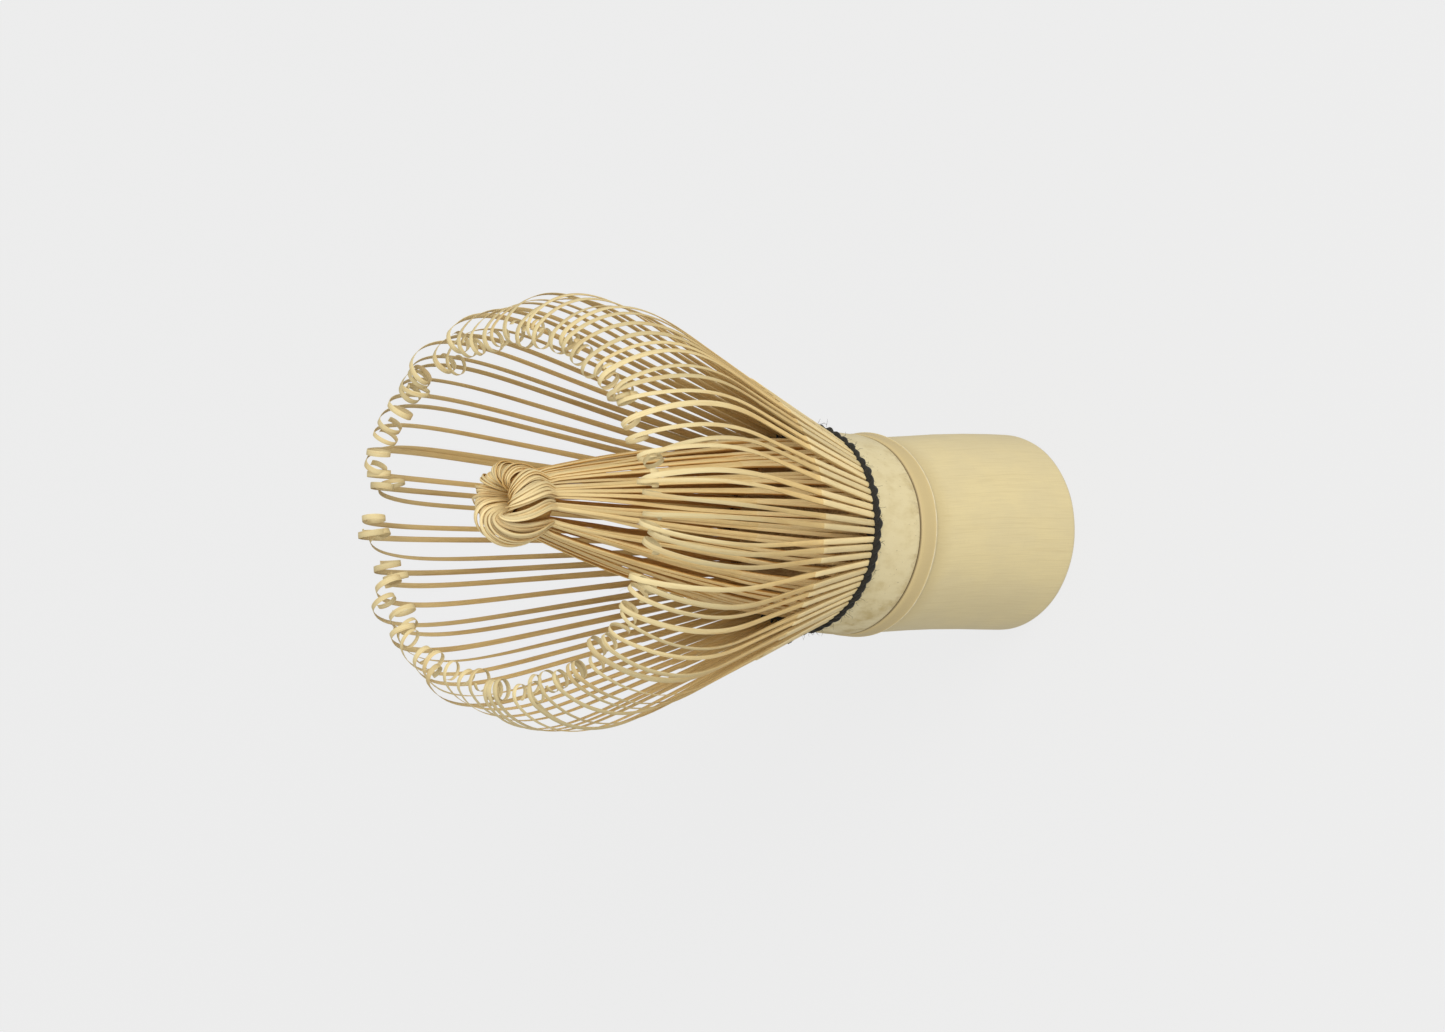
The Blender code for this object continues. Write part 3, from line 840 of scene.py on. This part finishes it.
def skin_material():
    """The handle's polished skin, with its grain, its bloom above the groove, the stain at the node with
    painted shade on its -X side, and painted shade and a painted highlight at the node's ridge.
    """
    s = Shader("culm_skin")
    fibre = s.fibre()
    side, _, height = s.add("SeparateXYZ", {"Vector": fibre}).outputs
    lines = s.noise(s.scaled(fibre, (4.2, 4.2, 0.07)), 6.0, 0.62)
    fine = s.noise(s.scaled(fibre, (13.0, 13.0, 0.22)), 4.0, 0.6)
    cross = s.noise(s.scaled(fibre, (0.5, 0.5, 3.2)), 3.0, 0.5)
    cloud = s.noise(s.scaled(fibre, (0.16, 0.16, 0.11)), 3.0, 0.5)
    blotch = s.noise(s.scaled(fibre, (0.55, 0.55, 0.3), (7, 3, 1)), 4.0, 0.6)
    smudge = s.noise(s.scaled(fibre, (0.8, 0.8, 0.55), (2, 9, 4)), 5.0, 0.7)
    specks = s.noise(s.scaled(fibre, (3.4, 3.4, 2.6), (5, 1, 8)), 2.0, 0.5)
    crest_breakup = s.noise(s.scaled(fibre, (0.9, 0.9, 2.0), (4, 4, 4)), 4.0, 0.7)

    # Grain
    s.base = s.mix(s.remap(cloud, 0.35, 0.68, smooth=True), linear(232, 214, 162), linear(226, 209, 161))
    s.paint(s.remap(lines, 0.5, 0.72, 0.0, 0.34, smooth=True), (208, 187, 134))
    s.paint(s.remap(fine, 0.3, 0.72, 0.0, 0.3, smooth=True), (206, 188, 142))
    s.paint(s.remap(cross, 0.55, 0.75, 0.0, 0.18, smooth=True), (214, 196, 150))

    # The collar above the groove, the band between groove and ridge, and a painted highlight along the
    # ridge's crest, broken up by noise
    collar = s.remap(height, 32.2, 32.7, smooth=True)
    s.paint(s.times(collar, 0.75), (230, 215, 170))
    band = s.remap(height, 29.3, 29.55, smooth=True)
    band = s.times(band, s.remap(height, 32.0, 32.6, 1.0, 0.0, smooth=True))
    s.paint(s.times(band, 0.9), (206, 184, 132))
    # Painted highlight: a near-white, broken line along the ridge's crest
    crest_highlight = s.times(s.peak(height, CREST_HIGHLIGHT_HEIGHT, 11.0), s.remap(crest_breakup, 0.42, 0.62, 0.25, 1.0))
    s.paint(crest_highlight, (250, 243, 224))

    # Painted shade under the ridge: a dark line just under it, and darker skin that leads up to it, which is
    # also a little yellower in its own colour
    s.paint(s.times(s.peak(height, 28.75, 3.2), 0.3), (184, 160, 112))
    foot = s.times(s.remap(height, 24.5, 28.6, smooth=True), s.remap(height, 28.5, 28.9, 1.0, 0.0))
    s.paint(s.times(foot, 0.35), (206, 182, 122))

    # Stains on the collar, and more of the stain colour, mottled, on its -X side, away from the light, as
    # painted shade
    stain = s.remap(blotch, 0.42, 0.74, smooth=True)
    stain = s.times(stain, s.remap(height, 32.6, 35.5, 0.45, 0.3))
    # Painted shade: the stain colour laid more heavily on the -X side, which faces away from the light
    low = s.times(s.remap(side, -4.0, -12.0, 0.0, 0.5, smooth=True), s.remap(blotch, 0.36, 0.7))
    s.paint(s.times(s.math("ADD", stain, low, clamp=True), collar), (188, 163, 98))
    near = s.times(collar, s.remap(height, 32.5, 35.2, 1.0, 0.0, smooth=True))
    s.paint(s.times(s.times(near, s.remap(smudge, 0.5, 0.66, smooth=True)), 0.35), (166, 142, 100))
    s.paint(s.times(s.times(s.remap(specks, 0.68, 0.75, smooth=True), collar), 0.5), (134, 112, 80))

    # A dark line painted along the groove, and the eased edge of the cut end
    s.paint(s.times(s.peak(height, GROOVE_HEIGHT, 4.4), 1.25, clamp=True), (84, 64, 46))
    s.paint(s.remap(height, 0.25, 0.6, 0.4, 0.0, smooth=True), (236, 222, 182))

    s.surface.inputs["Specular IOR Level"].default_value = 0.32
    rough = s.math("SUBTRACT", s.remap(fine, 0.3, 0.7, 0.34, 0.5), s.times(crest_highlight, 0.16))
    return s.finish(rough, s.bump(fine, 0.00002, 0.4, s.bump(lines, 0.00007, 0.35)))


def cut_end_material():
    """Bamboo cut across, which shows the ends of its fibre bundles."""
    s = Shader("culm_cut_end")
    fibre = s.fibre()
    cells = s.add("TexVoronoi", {"Vector": s.scaled(fibre, (1.0, 1.0, 0.0)), "Scale": 2.4, "Randomness": 0.8})
    dots = s.remap(cells.outputs["Distance"], 0.2, 0.36, 1.0, 0.0, smooth=True)
    cloud = s.noise(s.scaled(fibre, (1.5, 1.5, 1.5)), 4.0)
    s.base = s.mix(cloud, linear(226, 204, 152), linear(210, 184, 128))
    s.paint(s.times(dots, 0.7), (150, 112, 66))
    return s.finish(s.remap(dots, 0, 1, 0.62, 0.8), s.bump(dots, 0.00006, 0.5))


def bore_material():
    """The culm's inside, duller and browner, with its own long grain."""
    s = Shader("culm_inside")
    fibre = s.fibre()
    lines = s.noise(s.scaled(fibre, (3.0, 3.0, 0.2)), 5.0, 0.6)
    cloud = s.noise(s.scaled(fibre, (0.4, 0.4, 0.2)), 4.0, 0.6)
    s.base = s.mix(s.remap(lines, 0.35, 0.7, smooth=True), linear(206, 178, 122), linear(168, 134, 84))
    s.paint(s.remap(cloud, 0.5, 0.7, 0.0, 0.5, smooth=True), (138, 104, 62))
    return s.finish(s.remap(lines, 0.3, 0.7, 0.7, 0.85), s.bump(lines, 0.0001, 0.6))


def thread_material():
    """Black cotton yarn, whose fibres catch a little light."""
    s = Shader("thread_black")
    fibre = s.fibre()
    strands = s.noise(s.scaled(fibre, (14.0, 5.0, 9.0)), 4.0, 0.65)
    coarse = s.noise(s.scaled(fibre, (3.0, 1.2, 9.0)), 3.0, 0.6)
    s.base = s.mix(s.remap(strands, 0.4, 0.72, smooth=True), linear(24, 22, 16), linear(52, 49, 38))
    s.paint(s.remap(coarse, 0.55, 0.75, 0.0, 0.5, smooth=True), (40, 34, 24))
    s.surface.inputs["Sheen Weight"].default_value = 0.12
    s.surface.inputs["Sheen Roughness"].default_value = 0.5
    return s.finish(s.remap(strands, 0.3, 0.7, 0.8, 0.95), s.bump(strands, 0.00008, 0.8))


# ---------------------------------------------------------------- stage


FLOOR_RADIUS, COVE, WALL_RADIUS = 2.8, 0.6, 3.4  # metres
WALL_TOP, DOME = 1.6, 1.8


def add_stage():
    """A pale floor that curves up into a plain round backdrop."""
    bm = bmesh.new()
    line = [(0, 0), (0.3, 0), (1.4, 0), (FLOOR_RADIUS, 0)]
    for a in np.linspace(0.15, math.pi / 2, 9):
        line.append((FLOOR_RADIUS + COVE * math.sin(a), COVE - COVE * math.cos(a)))
    line.append((WALL_RADIUS, WALL_TOP))
    for a in np.linspace(0.2, math.pi / 2, 9):
        line.append((WALL_RADIUS * math.cos(a), WALL_TOP + DOME * math.sin(a)))
    rows = []
    for radius, height in line:
        around = 1 if radius < 1e-6 else 64
        turns = np.linspace(0, 2 * math.pi, around, endpoint=False)
        rows.append([bm.verts.new((radius * math.cos(t), radius * math.sin(t), height)) for t in turns])
    for low, high in zip(rows, rows[1:]):
        for i in range(max(len(low), len(high))):
            corners = [low[i % len(low)], low[(i + 1) % len(low)]]
            corners += [high[(i + 1) % len(high)], high[i % len(high)]]
            bm.faces.new(list(dict.fromkeys(corners)))
    bmesh.ops.recalc_face_normals(bm, faces=bm.faces)
    bmesh.ops.reverse_faces(bm, faces=bm.faces)
    mesh = bpy.data.meshes.new("backdrop")
    bm.to_mesh(mesh)
    bm.free()
    mesh.polygons.foreach_set("use_smooth", [True] * len(mesh.polygons))
    s = Shader("backdrop")
    paper = s.noise(s.add("TexCoord").outputs["Object"], 2.0, 0.5, 3.0)
    tint = s.mix(s.remap(paper, 0.3, 0.7), (0.055, 0.055, 0.055), (0.06, 0.06, 0.06))
    s.put(s.surface.inputs["Base Color"], tint)
    s.surface.inputs["Roughness"].default_value = 0.9
    s.surface.inputs["Specular IOR Level"].default_value = 0.1
    s.surface.inputs["Emission Color"].default_value = (1, 1, 1, 1)
    s.surface.inputs["Emission Strength"].default_value = 0.785
    mesh.materials.append(s.material)
    floor = bpy.data.objects.new("backdrop", mesh)
    bpy.context.scene.collection.objects.link(floor)
    floor.visible_diffuse = False
    floor.visible_glossy = False
    floor.visible_transmission = False
    floor.visible_shadow = False


def add_light(name, direction, distance, size, power, colour=(1, 1, 1)):
    """A round soft light, which looks at the whisk from distance metres away."""
    data = bpy.data.lights.new(name, "AREA")
    data.shape = "DISK"
    data.size = size
    data.energy = power
    data.color = colour
    light = bpy.data.objects.new(name, data)
    bpy.context.scene.collection.objects.link(light)
    middle = Vector((0, 0, 0.05))
    away = Vector(direction).normalized()
    light.location = middle + away * distance
    light.rotation_mode = "QUATERNION"
    light.rotation_quaternion = (-away).to_track_quat("-Z", "Y")


VIEW_HEIGHT, VIEW_ROLL = math.radians(48), math.radians(2.1)
VIEW_WIDTH = 1.921  # of the whisk's length
VIEW_CENTRE = (-0.0468, 0.0098)  # right of and above the whisk's middle, as shares of its length


def add_camera():
    """Looks down on the tines, with the whisk's axis along the long side of the view."""
    lens, sensor = 550, 36
    high, roll = VIEW_HEIGHT, VIEW_ROLL
    across = Vector((0, -math.sin(high), -math.cos(high)))
    above = Vector((1, 0, 0))
    back = Vector((0, -math.cos(high), math.sin(high)))
    right = across * math.cos(roll) + above * math.sin(roll)
    up = above * math.cos(roll) - across * math.sin(roll)
    low, tall = CAD_BOX
    length = (tall - low).z
    target = Vector((0, 0, length * 0.495))
    target = target + right * (VIEW_CENTRE[0] * length) + up * (VIEW_CENTRE[1] * length)
    data = bpy.data.cameras.new("camera")
    data.lens = lens
    data.sensor_width = sensor
    data.clip_start, data.clip_end = 0.1, 12
    camera = bpy.data.objects.new("camera", data)
    bpy.context.scene.collection.objects.link(camera)
    place = target + back * (VIEW_WIDTH * length * lens / sensor)
    camera.matrix_world = Matrix.Translation(place) @ Matrix((right, up, back)).transposed().to_4x4()
    bpy.context.scene.camera = camera


SKY_FRONT = (0.24, -0.65, 0.72)  # the side that the soft light comes from
SKY_DIM, SKY_BRIGHT = 0.37, 0.86  # its strength from behind and from that side


def add_studio():
    """The stage, soft light that is stronger from one side, a key light and a weak fill."""
    add_stage()
    world = bpy.data.worlds.new("studio")
    world.use_nodes = True
    tree = world.node_tree
    direction = tree.nodes.new("ShaderNodeTexCoord").outputs["Generated"]
    facing = tree.nodes.new("ShaderNodeVectorMath")
    facing.operation = "DOT_PRODUCT"
    facing.inputs[1].default_value = SKY_FRONT
    tree.links.new(direction, facing.inputs[0])
    glow = tree.nodes.new("ShaderNodeMapRange")
    for name, value in (("From Min", -1), ("From Max", 1), ("To Min", SKY_DIM), ("To Max", SKY_BRIGHT)):
        glow.inputs[name].default_value = value
    tree.links.new(facing.outputs["Value"], glow.inputs["Value"])
    tree.links.new(glow.outputs["Result"], tree.nodes["Background"].inputs["Strength"])
    tree.nodes["Background"].inputs["Color"].default_value = (1.0, 1.0, 1.0, 1)
    bpy.context.scene.world = world
    add_light("key", (0.46, -0.61, 0.62), 1.3, 0.8, 7.0, (1.0, 0.995, 0.98))
    add_light("fill", (-0.3, 0.5, 0.9), 1.5, 1.4, 1.4)
    bpy.context.scene.view_settings.view_transform = "Standard"


def main():
    outer = [  # skin, shaved side and pith
        strip_material("outer_skin", (250, 226, 168), (236, 214, 158), (214, 182, 116), 0.45),
        strip_material("outer_shaved", (238, 205, 138), (226, 207, 156), (202, 158, 86), 0.6),
        strip_material("outer_pith", (206, 177, 120), (224, 206, 158), (152, 114, 62), 0.62, 54.0),
    ]
    inner = [
        strip_material("inner_skin", (243, 218, 161), (243, 218, 161), (214, 180, 116), 0.47),
        strip_material("inner_shaved", (240, 212, 150), (238, 217, 164), (206, 164, 94), 0.55, 52.0, 0.55),
        strip_material("inner_pith", (216, 168, 94), (220, 186, 122), (162, 110, 48), 0.62, 56.0),
    ]
    add_handle([skin_material(), cut_end_material(), bore_material()])
    add_outer_tines(outer)
    add_inner_tines(inner)
    add_knot(inner)
    add_thread(thread_material())
    add_camera()
    add_studio()


main()
